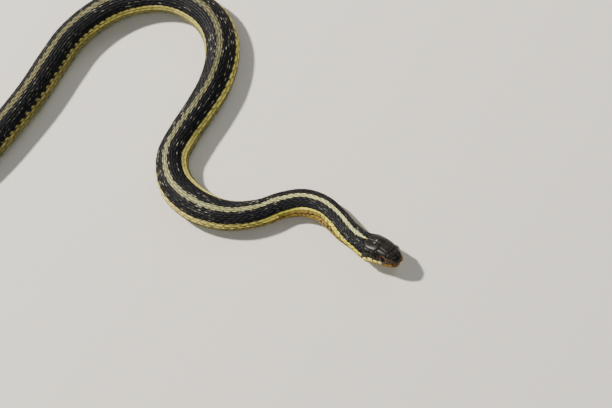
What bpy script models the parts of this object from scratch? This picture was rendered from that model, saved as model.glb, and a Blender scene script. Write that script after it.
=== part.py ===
"""Garter snake, life size, resting in open bends with its head a little raised.

The animal is one swept body along a curved midline. Nodes meet at thin flat cuts.
Everything is in metres. Places along the animal are counted in millimetres from the snout back.
"""

import math

import bmesh
import bpy
import numpy as np

MM = 0.001

# Places along the animal in life, millimetres, and the cut between nodes
HEAD_END = 24.0
VENT = 476.0
TOTAL = 626.0
CUT = 0.3

# Midline seen from above, millimetres, from the snout back to the tail tip
WAYPOINTS = [
    (12.8, -51.5), (10.4, -41.9), (6.7, -32.7), (5.3, -25.1), (5.3, -17.1), (4.4, -8.9),
    (0.4, -1.2), (-6.6, 3.8), (-14.5, 7.1), (-22.3, 12.8), (-28.3, 21.5), (-31.8, 32.5), (-31.8, 43.0),
    (-26.8, 52.4), (-17.5, 57.4), (-7.5, 61.2), (2.1, 65.9), (9.5, 72.1), (14.9, 80.2),
    (17.4, 90.0), (16.3, 101.2), (12.1, 112.0), (4.5, 121.3), (-5.3, 127.8), (-17.0, 131.0),
    (-29.0, 130.7), (-40.5, 126.8), (-54.0, 121.4), (-68.5, 117.4), (-82.0, 114.6),
    (-96.0, 113.6), (-110.0, 116.0), (-122.0, 123.5), (-130.0, 135.0), (-134.5, 149.0),
    (-137.0, 163.0), (-141.0, 177.0), (-149.0, 189.0), (-161.0, 197.0), (-175.0, 199.5),
    (-189.0, 197.0), (-202.0, 190.5), (-214.0, 182.0), (-226.5, 174.0), (-240.0, 169.0),
    (-254.0, 168.0), (-268.0, 171.0), (-281.0, 177.0), (-292.5, 185.0), (-303.5, 194.0),
    (-313.5, 204.0), (-322.0, 215.5), (-330.0, 228.5),
]
# Where the frame's origin stands in those coordinates
ORIGIN = (-148.7, 82.55)

# Half width of the animal at distances from the snout
BODY_AT = [0, 24, 35, 50, 62, 80, 95, 120, 150, 200, 300, 380, 430, 476, 486, 530, 570, 605, 622, 626]
BODY_HALF = [4.4, 4.35, 3.95, 4.2, 4.6, 5.4, 5.85, 5.9, 6.0, 6.3, 6.4, 6.1, 5.3, 4.2, 3.75, 2.9,
             2.1, 1.25, 0.75, 0.35]
HEIGHT_RATIO = 1.86
NECK_HEIGHT_RATIO = 1.72
FLAT_REACH = 1.12
BELLY_FROM = math.radians(110)
# The lower flanks are spread: share of the half width, between these angles from the mid-back;
# on the neck the right flank alone
SPREAD_AT = [24.0, 33.0, 42.0, 52.0, 62.0, 74.0, 84.0, 95.0, 110.0, 124.0, 140.0, 155.0, 172.0,
             188.0, 204.0]
SPREAD = [0.0, 0.39, 0.52, 0.55, 0.25, 0.04, 0.1, 0.18, 0.2, 0.12, 0.06, 0.16, 0.18, 0.12, 0.0]
SPREAD_RISES = (math.radians(65), math.radians(112))
SPREAD_FADES = (math.radians(140), math.radians(178))
LEFT_SPREAD_FROM = (70.0, 86.0)

# The snout is raised, and the head and neck lean to the animal's left
LIFT_AT = [0.0, 20.0, 32.0, 48.0, 66.0]
LIFT = [4.0, 1.15, 0.95, 0.5, 0.0]
HEAD_ROLL = math.radians(19.5)
ROLL_ENDS = (22.0, 64.0)

# Nodes of the body: name and where each ends
LENGTHS = [
    ("neck", 58.0), ("body_01", 90.0), ("body_02", 112.0), ("body_03", 134.0), ("body_04", 168.0),
    ("body_05", 200.0), ("body_06", 238.0), ("body_07", 276.0), ("body_08", 314.0),
    ("body_09", 350.0), ("body_10", 388.0), ("body_11", 432.0), ("body_12", VENT),
    ("tail_01", 524.0), ("tail_02", 574.0), ("tail_tip", TOTAL),
]
SCUTE_PITCH = 8.0
TAIL_SCUTE_PITCH = 5.5
SCUTE_DEPTH = 0.28
BODY_SIDES = 18
TAIL_SIDES = 14

# The snout is blunt: places over its first millimetres are drawn back and closer together
SNOUT_BACK = 2.3
SNOUT_REACH = 9.0

# Head profiles at places from the snout tip
HEAD_AT = [0.0, 0.35, 1.0, 2.5, 4.5, 7.0, 9.5, 12.5, 15.5, 18.0, 21.0, 24.0]
HEAD_HALF = [0.7, 1.35, 1.95, 2.75, 3.45, 4.2, 4.6, 5.1, 5.45, 5.4, 4.85, 4.4]
HEAD_TOP = [2.7, 3.5, 4.2, 4.95, 5.55, 6.35, 6.85, 7.25, 7.4, 7.4, 7.45, 7.55]
HEAD_BASE = [1.7, 1.15, 0.75, 0.3, 0.1, 0.0, 0.0, 0.0, 0.0, 0.0, 0.0, 0.0]
# Half section of the head from the crown to the chin: share of the half width, share of the height
HEAD_SECTION = [
    (0.0, 1.0), (0.33, 0.99), (0.60, 0.935), (0.80, 0.81), (0.90, 0.65), (0.965, 0.47),
    (1.0, 0.34), (0.92, 0.295), (0.95, 0.25), (0.88, 0.12), (0.66, 0.02), (0.33, 0.0), (0.0, 0.0),
]
MOUTH_ROW = 7
MOUTH_END = 18.0
NECK_BLEND = (15.0, 24.0)

EYE_AT = 7.2
EYE_ROW = 4.2
EYE_RADIUS = 1.65
EYE_SUNK = 1.2
EYE_GAP = 0.2
NOSTRIL_AT = 2.2
NOSTRIL_ROW = 3.6
NOSTRIL_RADIUS = 0.34

# Plates of the head: corners as distance from the snout and row of the section, for one side
SIDE_PLATES = {
    "internasal": [(1.3, 0.12), (3.3, 0.12), (3.2, 2.1), (1.7, 2.0)],
    "prefrontal": [(3.6, 0.12), (6.0, 0.12), (6.6, 1.5), (6.0, 3.1), (3.7, 2.6)],
    "supraocular": [(6.9, 1.75), (10.9, 1.35), (11.3, 2.4), (10.5, 3.1), (6.6, 3.0)],
    "parietal": [(11.9, 0.12), (17.2, 0.12), (17.4, 1.0), (15.8, 2.2), (11.7, 2.9), (11.3, 1.4)],
    "nasal": [(1.2, 2.3), (3.3, 2.4), (3.4, 4.8), (1.3, 4.8)],
    "loreal": [(3.6, 2.95), (5.4, 3.4), (5.6, 4.8), (3.7, 4.8)],
    "fore_temporal": [(9.9, 3.5), (11.9, 3.2), (13.2, 3.2), (13.0, 4.8), (9.7, 4.8)],
    "rear_temporal": [(13.5, 3.1), (16.0, 2.6), (16.9, 3.4), (16.6, 4.8), (13.3, 4.8)],
}
FRONTAL = [(6.3, 0.0), (6.9, 1.4), (10.9, 1.0), (11.7, 0.0), (10.9, -1.0), (6.9, -1.4)]
UPPER_LIP = [0.75, 2.2, 3.9, 5.9, 8.0, 10.4, 13.2, 16.2]
LOWER_LIP = [1.0, 2.6, 4.6, 6.9, 9.5, 12.5, 15.8]
PLATE_RISE = 0.16
PLATE_ROOT = 0.5
PLATE_GAP = 0.14

COLOURS = {
    "head": ((0.045, 0.046, 0.038), 0.35),
    "eye": ((0.012, 0.008, 0.006), 0.08),
    "body": ((0.028, 0.028, 0.032), 0.5),
}


def smooth_step(x, low, high):
    t = np.clip((x - low) / (high - low), 0.0, 1.0)
    return t * t * (3 - 2 * t)


def spline(knots, values, at):
    """A smooth curve through the values, by Hermite pieces."""
    knots, values = np.asarray(knots, float), np.asarray(values, float)
    steps = np.diff(knots)
    rises = np.diff(values, axis=0) / (steps if values.ndim == 1 else steps[:, None])
    slopes = np.concatenate([rises[:1], (rises[1:] + rises[:-1]) / 2, rises[-1:]])
    at = np.clip(np.asarray(at, float), knots[0], knots[-1])
    i = np.clip(np.searchsorted(knots, at, side="right") - 1, 0, len(knots) - 2)
    t = (at - knots[i]) / steps[i]
    span = steps[i]
    if values.ndim == 2:
        t, span = t[..., None], span[..., None]
    return (
        values[i] * (1 + 2 * t) * (1 - t) ** 2
        + values[i + 1] * t * t * (3 - 2 * t)
        + span * slopes[i] * t * (1 - t) ** 2
        - span * slopes[i + 1] * t * t * (1 - t)
    )


def midline_table():
    """Midline points every quarter millimetre, with their distance along the animal."""
    points = np.array(WAYPOINTS) - np.array(ORIGIN)
    chords = np.r_[0, np.cumsum(np.linalg.norm(np.diff(points, axis=0), axis=1))]
    fine = spline(chords, points, np.linspace(0, chords[-1], 6000))
    length = np.r_[0, np.cumsum(np.linalg.norm(np.diff(fine, axis=0), axis=1))]
    return length, fine


LENGTH, MIDLINE = midline_table()


def midline(s):
    s = s + SNOUT_BACK * max(1.0 - s / SNOUT_REACH, 0.0) ** 2
    return np.array([np.interp(s, LENGTH, MIDLINE[:, k]) for k in (0, 1)])


def frame_at(s):
    """Floor point under the midline, and the unit vector to the animal's right."""
    reach = 0.6
    along = midline(s + reach) - midline(s - reach) if s > reach else midline(reach) - midline(0.0)
    along /= np.linalg.norm(along)
    return midline(s), np.array([-along[1], along[0]])


def body_half(s):
    return float(spline(BODY_AT, BODY_HALF, s))


def body_height(s):
    ratio = NECK_HEIGHT_RATIO + (HEIGHT_RATIO - NECK_HEIGHT_RATIO) * smooth_step(s, 24.0, 90.0)
    return float(ratio * body_half(s))


def body_section(s, angles):
    """Outline of the body: sideways and upwards, by angle from the mid-back."""
    half, middle = body_half(s), body_height(s) / 2
    up = np.where(
        np.cos(angles) > 0,
        middle * (1 + np.cos(angles)),
        np.maximum(middle * (1 + FLAT_REACH * np.cos(angles)), 0.0),
    )
    turn = np.where(angles > math.pi, 2 * math.pi - angles, angles)
    low = smooth_step(turn, *SPREAD_RISES) * (1 - smooth_step(turn, *SPREAD_FADES))
    low = np.where(np.sin(angles) < 0, low * smooth_step(s, *LEFT_SPREAD_FROM), low)
    wide = half * (1 + float(spline(SPREAD_AT, SPREAD, s)) * low)
    return np.stack([wide * np.sin(angles), up], 1)


def place(s, section):
    """Section points in the frame, in millimetres, with the lift and lean of the head and neck."""
    floor, right = frame_at(s)
    middle = body_height(min(max(s, 12.0), TOTAL)) / 2
    roll = HEAD_ROLL * (1 - smooth_step(s, *ROLL_ENDS))
    lift = float(spline(LIFT_AT, LIFT, s))
    u, w = section[:, 0], section[:, 1] - middle
    side = u * math.cos(roll) - w * math.sin(roll)
    up = middle + w * math.cos(roll) + u * math.sin(roll) + lift
    return np.column_stack([floor[0] + side * right[0], floor[1] + side * right[1], up])


def new_object(name, rings, colour):
    """A closed swept solid from rings of points in millimetres, capped at both ends."""
    sides = len(rings[0])
    mesh = bpy.data.meshes.new(name)
    faces = []
    for i in range(len(rings) - 1):
        for j in range(sides):
            a, b = i * sides + j, i * sides + (j + 1) % sides
            faces.append((a, b, b + sides, a + sides))
    faces.append(tuple(reversed(range(sides))))
    faces.append(tuple((len(rings) - 1) * sides + j for j in range(sides)))
    mesh.from_pydata([tuple(p * MM) for ring in rings for p in ring], [], faces)
    return finished(name, mesh, colour)


def finished(name, mesh, colour):
    work = bmesh.new()
    work.from_mesh(mesh)
    bmesh.ops.recalc_face_normals(work, faces=work.faces)
    if work.calc_volume(signed=True) < 0:
        bmesh.ops.reverse_faces(work, faces=work.faces)
    bmesh.ops.triangulate(work, faces=[f for f in work.faces if len(f.verts) > 4])
    for face in work.faces:
        face.smooth = True
    work.to_mesh(mesh)
    work.free()
    thing = bpy.data.objects.new(name, mesh)
    bpy.context.scene.collection.objects.link(thing)
    mesh.materials.append(material(name, *COLOURS[colour]))
    return thing


def material(name, colour, roughness):
    made = bpy.data.materials.new(name)
    made.use_nodes = True
    shader = made.node_tree.nodes["Principled BSDF"]
    shader.inputs["Base Color"].default_value = (*colour, 1.0)
    shader.inputs["Roughness"].default_value = roughness
    shader.inputs["Metallic"].default_value = 0.0
    return made


def ring(s, sides, sunk):
    """One ring of the body, with the belly drawn in by sunk between two scutes."""
    angles = (np.arange(sides) + 0.5) * 2 * math.pi / sides
    section = body_section(s, angles)
    centre = np.array([0.0, body_height(s) / 2])
    belly = np.abs(np.where(angles > math.pi, 2 * math.pi - angles, angles)) > BELLY_FROM
    inward = centre - section
    inward /= np.linalg.norm(inward, axis=1)[:, None]
    section[belly] += inward[belly] * sunk
    return place(s, section)


def body_length(name, start, end):
    """One length of body or tail, its belly stepped into broad scutes."""
    tail = name.startswith("tail")
    sides = TAIL_SIDES if tail else BODY_SIDES
    pitch = TAIL_SCUTE_PITCH if tail else SCUTE_PITCH
    tip = name == "tail_tip"
    start += CUT / 2
    end -= 0 if tip else CUT / 2
    count = max(1, round((end - start) / pitch))
    step = (end - start) / count
    rings = []
    for i in range(count):
        near = start + i * step
        depth = min(SCUTE_DEPTH, 0.12 * body_half(near))
        rings += [ring(near, sides, 0.0), ring(near + 0.42 * step, sides, 0.0)]
        if i < count - 1:
            rings += [ring(near + 0.82 * step, sides, 0.0), ring(near + 0.9 * step, sides, depth)]
    rings.append(ring(end, sides, 0.0))
    return new_object(name, rings, "body")


def head_section(s, rows):
    """Points of the head's right half section at rows from the crown (0) to the chin (12)."""
    half, top, base = (float(spline(HEAD_AT, v, s)) for v in (HEAD_HALF, HEAD_TOP, HEAD_BASE))
    outline = np.array(HEAD_SECTION)
    groove = 1 - smooth_step(s, MOUTH_END - 2.0, MOUTH_END)
    lips = (outline[MOUTH_ROW - 1, 0] + outline[MOUTH_ROW + 1, 0]) / 2
    outline[MOUTH_ROW, 0] = lips + (outline[MOUTH_ROW, 0] - lips) * groove
    points = np.stack([outline[:, 0] * half, base + outline[:, 1] * (top - base)], 1)
    neck = smooth_step(s, *NECK_BLEND)
    angles = np.linspace(0, math.pi, len(points))
    points = points * (1 - neck) + body_section(HEAD_END, angles) * neck
    return spline(np.arange(len(points)), points, np.abs(rows)) * np.stack(
        [np.where(np.asarray(rows) < 0, -1.0, 1.0), np.ones(len(rows))], 1
    )


def head_point(s, row, rise=0.0):
    """A point of the head's surface, raised along the section's outward direction."""
    here = head_section(s, np.array([row]))[0]
    before, after = head_section(s, np.array([row - 0.2, row + 0.2]))
    along = after - before
    out = np.array([-along[1], along[0]]) / np.linalg.norm(along)
    if np.dot(out, here - np.array([0.0, 3.4])) < 0:
        out = -out
    return place(s, (here + out * rise)[None])[0]


def head_body():
    rows = np.r_[np.arange(13), -np.arange(11, 0, -1)]
    stations = np.r_[0.0, 0.12, 0.35, 0.7, 1.2, 1.9, np.arange(2.8, 20.0, 1.3), 21.2, 22.6,
                     HEAD_END - CUT / 2]
    return new_object("head", [place(s, head_section(s, rows)) for s in stations], "head")


def plate(corners):
    """A low pillow over the head between its corners, rooted in the head."""
    corners = np.array(corners, float)
    middle = corners.mean(0)
    outline = []
    for a, b in zip(corners, np.roll(corners, -1, axis=0)):
        for t in (0.0, 0.5):
            outline.append(a + (b - a) * t)
    outline = np.array(outline)
    spread = np.linalg.norm((corners - middle) * [1.0, 1.1], axis=1).mean()
    loops = [(0.0, -PLATE_ROOT), (0.0, PLATE_RISE * 0.35), (min(0.3, 0.22 / spread), PLATE_RISE),
             (0.55, PLATE_RISE * 1.1)]
    points = []
    for shrink, rise in loops:
        ring_at = middle + (outline - middle) * (1 - shrink)
        points += [head_point(s, row, rise) for s, row in ring_at]
    points += [head_point(*middle, PLATE_RISE * 1.1), head_point(*middle, -PLATE_ROOT)]
    n, last = len(outline), len(loops) - 1
    faces = []
    for j in range(n):
        k = (j + 1) % n
        for i in range(last):
            faces += [(i * n + j, i * n + k, i * n + n + k), (i * n + j, i * n + n + k, i * n + n + j)]
        faces += [(last * n + j, last * n + k, last * n + n), (k, j, last * n + n + 1)]
    mesh = bpy.data.meshes.new("plate")
    mesh.from_pydata([tuple(p * MM) for p in points], [], faces)
    return finished("plate", mesh, "head")


def lip_plates(bounds, top_row, bottom_row):
    """A row of lip scales as corners, from the snout back."""
    rows = []
    for a, b in zip(bounds, bounds[1:]):
        a, b = a + PLATE_GAP / 2, b - PLATE_GAP / 2
        rows.append([(a, top_row), (b, top_row), (b, bottom_row), (a, bottom_row)])
    return rows


def mirrored(corners):
    return [(s, -row) for s, row in corners]


def ball(name, centre, radius, colour, segments, rings):
    mesh = bpy.data.meshes.new(name)
    work = bmesh.new()
    bmesh.ops.create_uvsphere(work, u_segments=segments, v_segments=rings, radius=radius * MM)
    bmesh.ops.translate(work, verts=work.verts, vec=tuple(np.array(centre) * MM))
    work.to_mesh(mesh)
    work.free()
    return finished(name, mesh, colour)


def combine(target, pieces, operation):
    """One Boolean of the target with many closed pieces, applied, and the pieces removed."""
    group = bpy.data.collections.new("pieces")
    bpy.context.scene.collection.children.link(group)
    for piece in pieces:
        bpy.context.scene.collection.objects.unlink(piece)
        group.objects.link(piece)
    change = target.modifiers.new("combine", "BOOLEAN")
    change.operation = operation
    change.operand_type = "COLLECTION"
    change.collection = group
    change.solver = "MANIFOLD"
    bpy.context.view_layer.update()
    result = bpy.data.meshes.new_from_object(
        target.evaluated_get(bpy.context.evaluated_depsgraph_get())
    )
    target.modifiers.clear()
    target.data = result
    for piece in pieces:
        bpy.data.objects.remove(piece)
    bpy.data.collections.remove(group)


def keep_largest(thing):
    """Leaves only the largest closed surface of a node."""
    work = bmesh.new()
    work.from_mesh(thing.data)
    left, islands = set(work.verts), []
    while left:
        stack, island = [left.pop()], []
        while stack:
            vert = stack.pop()
            island.append(vert)
            for edge in vert.link_edges:
                other = edge.other_vert(vert)
                if other in left:
                    left.remove(other)
                    stack.append(other)
        islands.append(island)
    islands.sort(key=len)
    bmesh.ops.delete(work, geom=[v for island in islands[:-1] for v in island], context="VERTS")
    work.to_mesh(thing.data)
    work.free()


def build_head():
    head = head_body()
    plates = [plate(FRONTAL)]
    for corners in SIDE_PLATES.values():
        plates += [plate(corners), plate(mirrored(corners))]
    for corners in lip_plates(UPPER_LIP, 5.15, 6.1) + lip_plates(LOWER_LIP, 8.1, 9.3):
        plates += [plate(corners), plate(mirrored(corners))]
    combine(head, plates, "UNION")
    holes = []
    for side, name in ((1, "eye_right"), (-1, "eye_left")):
        centre = head_point(EYE_AT, side * EYE_ROW, -EYE_SUNK)
        ball(name, centre, EYE_RADIUS, "eye", 20, 12)
        holes.append(ball("socket", centre, EYE_RADIUS + EYE_GAP, "eye", 20, 12))
        pit = head_point(NOSTRIL_AT, side * NOSTRIL_ROW, PLATE_RISE)
        holes.append(ball("pit", pit, NOSTRIL_RADIUS, "eye", 10, 6))
    combine(head, holes, "DIFFERENCE")
    keep_largest(head)


def main():
    for thing in list(bpy.data.objects):
        bpy.data.objects.remove(thing)
    build_head()
    start = HEAD_END
    for name, end in LENGTHS:
        body_length(name, start, end)
        start = end


main()
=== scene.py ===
"""The looks of the garter snake: one skin from snout to tail tip, a coat of keeled scales, the belly
scutes, the head's plates and both eyes, in the pose of the solids."""

import math

import bpy
import numpy as np
from mathutils import Matrix


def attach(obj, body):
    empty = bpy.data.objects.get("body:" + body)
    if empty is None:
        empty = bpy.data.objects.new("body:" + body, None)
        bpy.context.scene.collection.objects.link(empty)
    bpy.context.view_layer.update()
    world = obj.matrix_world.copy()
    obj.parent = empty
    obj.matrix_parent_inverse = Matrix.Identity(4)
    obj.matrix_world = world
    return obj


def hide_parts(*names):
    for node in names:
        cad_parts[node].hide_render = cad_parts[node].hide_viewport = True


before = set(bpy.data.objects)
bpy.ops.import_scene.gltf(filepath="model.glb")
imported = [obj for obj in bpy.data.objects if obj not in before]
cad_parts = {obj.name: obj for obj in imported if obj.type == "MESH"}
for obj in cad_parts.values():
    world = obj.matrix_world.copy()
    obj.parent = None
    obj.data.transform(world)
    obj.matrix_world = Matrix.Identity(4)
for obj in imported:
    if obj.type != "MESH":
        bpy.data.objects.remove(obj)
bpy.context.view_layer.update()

MM = 0.001

# The solids' midline seen from above, and their sizes in millimetres by distance from the snout
WAYPOINTS = [
    (12.8, -51.5), (10.4, -41.9), (6.7, -32.7), (5.3, -25.1), (5.3, -17.1), (4.4, -8.9),
    (0.4, -1.2), (-6.6, 3.8), (-14.5, 7.1), (-22.3, 12.8), (-28.3, 21.5), (-31.8, 32.5), (-31.8, 43.0),
    (-26.8, 52.4), (-17.5, 57.4), (-7.5, 61.2), (2.1, 65.9), (9.5, 72.1), (14.9, 80.2),
    (17.4, 90.0), (16.3, 101.2), (12.1, 112.0), (4.5, 121.3), (-5.3, 127.8), (-17.0, 131.0),
    (-29.0, 130.7), (-40.5, 126.8), (-54.0, 121.4), (-68.5, 117.4), (-82.0, 114.6),
    (-96.0, 113.6), (-110.0, 116.0), (-122.0, 123.5), (-130.0, 135.0), (-134.5, 149.0),
    (-137.0, 163.0), (-141.0, 177.0), (-149.0, 189.0), (-161.0, 197.0), (-175.0, 199.5),
    (-189.0, 197.0), (-202.0, 190.5), (-214.0, 182.0), (-226.5, 174.0), (-240.0, 169.0),
    (-254.0, 168.0), (-268.0, 171.0), (-281.0, 177.0), (-292.5, 185.0), (-303.5, 194.0),
    (-313.5, 204.0), (-322.0, 215.5), (-330.0, 228.5),
]
ORIGIN = np.array([-148.7, 82.55])
HEAD_END = 24.0
VENT = 476.0
TOTAL = 626.0
BODY_AT = [0, 24, 35, 50, 62, 80, 95, 120, 150, 200, 300, 380, 430, 476, 486, 530, 570, 605, 622, 626]
BODY_HALF = [4.4, 4.35, 3.95, 4.2, 4.6, 5.4, 5.85, 5.9, 6.0, 6.3, 6.4, 6.1, 5.3, 4.2, 3.75, 2.9,
             2.1, 1.25, 0.75, 0.35]
HEIGHT_RATIO = 1.86
NECK_HEIGHT_RATIO = 1.72
NECK_HEIGHT_ENDS = (24.0, 90.0)
FLAT_REACH = 1.12
# How far the lower flanks are spread, as a share of the half width, and between which angles from the
# mid-back. On the neck the right flank alone is spread, and the left one joins it further back.
SPREAD_AT = [24.0, 33.0, 42.0, 52.0, 62.0, 74.0, 84.0, 95.0, 110.0, 124.0, 140.0, 155.0, 172.0,
             188.0, 204.0]
SPREAD = [0.0, 0.39, 0.52, 0.55, 0.25, 0.04, 0.1, 0.18, 0.2, 0.12, 0.06, 0.16, 0.18, 0.12, 0.0]
SPREAD_RISES = (65.0, 112.0)
SPREAD_FADES = (140.0, 178.0)
LEFT_SPREAD_FROM = (70.0, 86.0)
# How far the stripes and the rows of scales turn about the body, in degrees towards its left
TWIST_AT = [24.0, 30.0, 38.0, 46.0, 56.0, 64.0, 132.0, 140.0, 156.0, 172.0, 188.0, 204.0, 222.0]
TWIST = [0.0, 9.0, 10.0, 4.0, 0.0, 0.0, 0.0, 3.0, 12.0, 17.0, 14.0, 7.0, 0.0]
# The raised and leaning head
LIFT_AT = [0.0, 20.0, 32.0, 48.0, 66.0]
LIFT = [4.0, 1.15, 0.95, 0.5, 0.0]
HEAD_ROLL = math.radians(19.5)
ROLL_ENDS = (22.0, 64.0)
ROLL_AXIS_FROM = 12.0
# How the snout's places lie closer together along the midline
SNOUT_BACK = 2.3
SNOUT_REACH = 9.0
# The head's half width, crown and underside by distance, and its section from crown to chin in rows
HEAD_AT = [0.0, 0.35, 1.0, 2.5, 4.5, 7.0, 9.5, 12.5, 15.5, 18.0, 21.0, 24.0]
HEAD_HALF = [0.7, 1.35, 1.95, 2.75, 3.45, 4.2, 4.6, 5.1, 5.45, 5.4, 4.85, 4.4]
HEAD_TOP = [2.7, 3.5, 4.2, 4.95, 5.55, 6.35, 6.85, 7.25, 7.4, 7.4, 7.45, 7.55]
HEAD_BASE = [1.7, 1.15, 0.75, 0.3, 0.1, 0.0, 0.0, 0.0, 0.0, 0.0, 0.0, 0.0]
HEAD_SECTION = np.array([
    (0.0, 1.0), (0.33, 0.99), (0.60, 0.935), (0.80, 0.81), (0.90, 0.65), (0.965, 0.47),
    (1.0, 0.34), (0.92, 0.295), (0.95, 0.25), (0.88, 0.12), (0.66, 0.02), (0.33, 0.0), (0.0, 0.0),
])
CHIN_ROW = len(HEAD_SECTION) - 1
MOUTH_ROW = 7
MOUTH_END = 18.0
NECK_BLEND = (15.0, 24.0)
SNOUT_CAP = 0.45
SNOUT_MIDDLE = np.array([0.0, 2.15])
EYE_AT = 7.2
EYE_ROW = 4.2
EYE_RADIUS = 1.8
EYE_SUNK = 1.32
EYE_HOLLOW = (0.85, 1.15)
EYE_HOLLOW_DEPTH = 1.3

# The coat
COAT_DEPTH = 0.24
COAT_THINS_BELOW = 3.0
SIDE_ROWS = 19
REAR_ROWS = 17
ROWS_CHANGE = 300.0
ROWS_REACH = 104.0
LOW_ROW_WIDER = 0.35
COAT_FROM = 14.0
SCALE_OVERLAP = 1.42
SCALE_WIDER = 1.16
BELLY_FROM = 23.0
SHIELD_BOTTOM = -0.35
BACK_MAP = ("back_map", -180.0)
BELLY_MAP = ("belly_map", 0.0)
MAP_END = 0.9998
BAKE_STRIPS = 4
BAKE_PATCH = 0.003

# The photo's view
VIEW_ELEVATION = math.radians(54.0)
VIEW_ROLL = math.radians(40.0)
VIEW_DISTANCE = 800.0
LENS = 130.7
SENSOR_WIDTH = 36.0

# The studio: each lamp's place in metres, size, power and colour
LAMPS = {
    "key": ((-0.25, 1.05, 1.30), 0.16, 66.0, (1.0, 0.96, 0.90)),
    "fill": ((0.2, -1.3, 1.1), 1.2, 6.0, (0.90, 0.95, 1.0)),
    "side": ((1.4, 0.2, 0.9), 0.9, 5.0, (1.0, 0.98, 0.95)),
}
LAMP_TARGET = (0.12, -0.02, 0.0)
ROOM_LIGHT = (0.86, 0.90, 0.96)
ROOM_STRENGTH = 0.22
FLOOR = (0.72, 0.68, 0.61)
FLOOR_REACH = 3.0
FLOOR_BELOW = 0.00002


def smooth_step(x, low, high):
    t = np.clip((np.asarray(x, float) - low) / (high - low), 0.0, 1.0)
    return t * t * (3 - 2 * t)


def spline(knots, values, at):
    """The solids' own curve through values at knots, for an array of places."""
    knots, values = np.asarray(knots, float), np.asarray(values, float)
    steps = np.diff(knots)
    rises = np.diff(values, axis=0) / (steps if values.ndim == 1 else steps[:, None])
    slopes = np.concatenate([rises[:1], (rises[1:] + rises[:-1]) / 2, rises[-1:]])
    at = np.clip(np.asarray(at, float), knots[0], knots[-1])
    i = np.clip(np.searchsorted(knots, at, side="right") - 1, 0, len(knots) - 2)
    t = (at - knots[i]) / steps[i]
    span = steps[i]
    if values.ndim == 2:
        t, span = t[..., None], span[..., None]
    return (
        values[i] * (1 + 2 * t) * (1 - t) ** 2
        + values[i + 1] * t * t * (3 - 2 * t)
        + span * slopes[i] * t * (1 - t) ** 2
        - span * slopes[i + 1] * t * t * (1 - t)
    )


def one_long(directions):
    return directions / np.maximum(np.linalg.norm(directions, axis=-1), 1e-9)[..., None]


def midline_table():
    points = np.array(WAYPOINTS) - ORIGIN
    chords = np.r_[0, np.cumsum(np.linalg.norm(np.diff(points, axis=0), axis=1))]
    fine = spline(chords, points, np.linspace(0, chords[-1], 6000))
    length = np.r_[0, np.cumsum(np.linalg.norm(np.diff(fine, axis=0), axis=1))]
    return length, fine


LENGTH, MIDLINE = midline_table()


def drawn_back(s):
    """Distance along the midline of a place: the snout's places lie closer together."""
    return s + SNOUT_BACK * np.maximum(1.0 - np.asarray(s, float) / SNOUT_REACH, 0.0) ** 2


def midline(s):
    s = drawn_back(s)
    return np.stack([np.interp(s, LENGTH, MIDLINE[:, k]) for k in (0, 1)], -1)


def body_half(s):
    return spline(BODY_AT, BODY_HALF, s)


def body_height(s):
    ratio = NECK_HEIGHT_RATIO + (HEIGHT_RATIO - NECK_HEIGHT_RATIO) * smooth_step(s, *NECK_HEIGHT_ENDS)
    return ratio * body_half(s)


def row_girth(row):
    """The angle of a row of the head's section."""
    return np.asarray(row, float) * 180.0 / CHIN_ROW


def body_outline(s, girth):
    """Sideways and upwards places on the body's section, by angle from the mid-back in degrees."""
    angle = np.radians(girth)
    half, middle = body_half(s), body_height(s) / 2
    up = np.where(
        np.cos(angle) > 0,
        middle * (1 + np.cos(angle)),
        np.maximum(middle * (1 + FLAT_REACH * np.cos(angle)), 0.0),
    )
    turn = np.abs((np.asarray(girth, float) + 180.0) % 360.0 - 180.0)
    low = smooth_step(turn, *SPREAD_RISES) * (1 - smooth_step(turn, *SPREAD_FADES))
    low = low * np.where(np.sin(angle) < 0, smooth_step(s, *LEFT_SPREAD_FROM), 1.0)
    wide = half * (1 + spline(SPREAD_AT, SPREAD, s) * low)
    return np.stack([wide * np.sin(angle), up], -1)


def head_outline(s, girth):
    """The same on the head, whose section runs from the crown to the chin in rows."""
    row = np.abs(girth) * CHIN_ROW / 180.0
    half, top, base = (spline(HEAD_AT, v, s) for v in (HEAD_HALF, HEAD_TOP, HEAD_BASE))
    share = spline(np.arange(CHIN_ROW + 1), HEAD_SECTION, row)
    closed = HEAD_SECTION.copy()
    closed[MOUTH_ROW, 0] = (closed[MOUTH_ROW - 1, 0] + closed[MOUTH_ROW + 1, 0]) / 2
    whole = spline(np.arange(CHIN_ROW + 1), closed, row)
    groove = (1 - smooth_step(s, MOUTH_END - 2.0, MOUTH_END))[..., None]
    share = whole + (share - whole) * groove
    points = np.stack([share[..., 0] * half, base + share[..., 1] * (top - base)], -1)
    neck = smooth_step(s, *NECK_BLEND)[..., None]
    points = points * (1 - neck) + body_outline(np.full_like(s, HEAD_END), np.abs(girth)) * neck
    points[..., 0] *= np.where(girth < 0, -1.0, 1.0)
    return points


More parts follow.
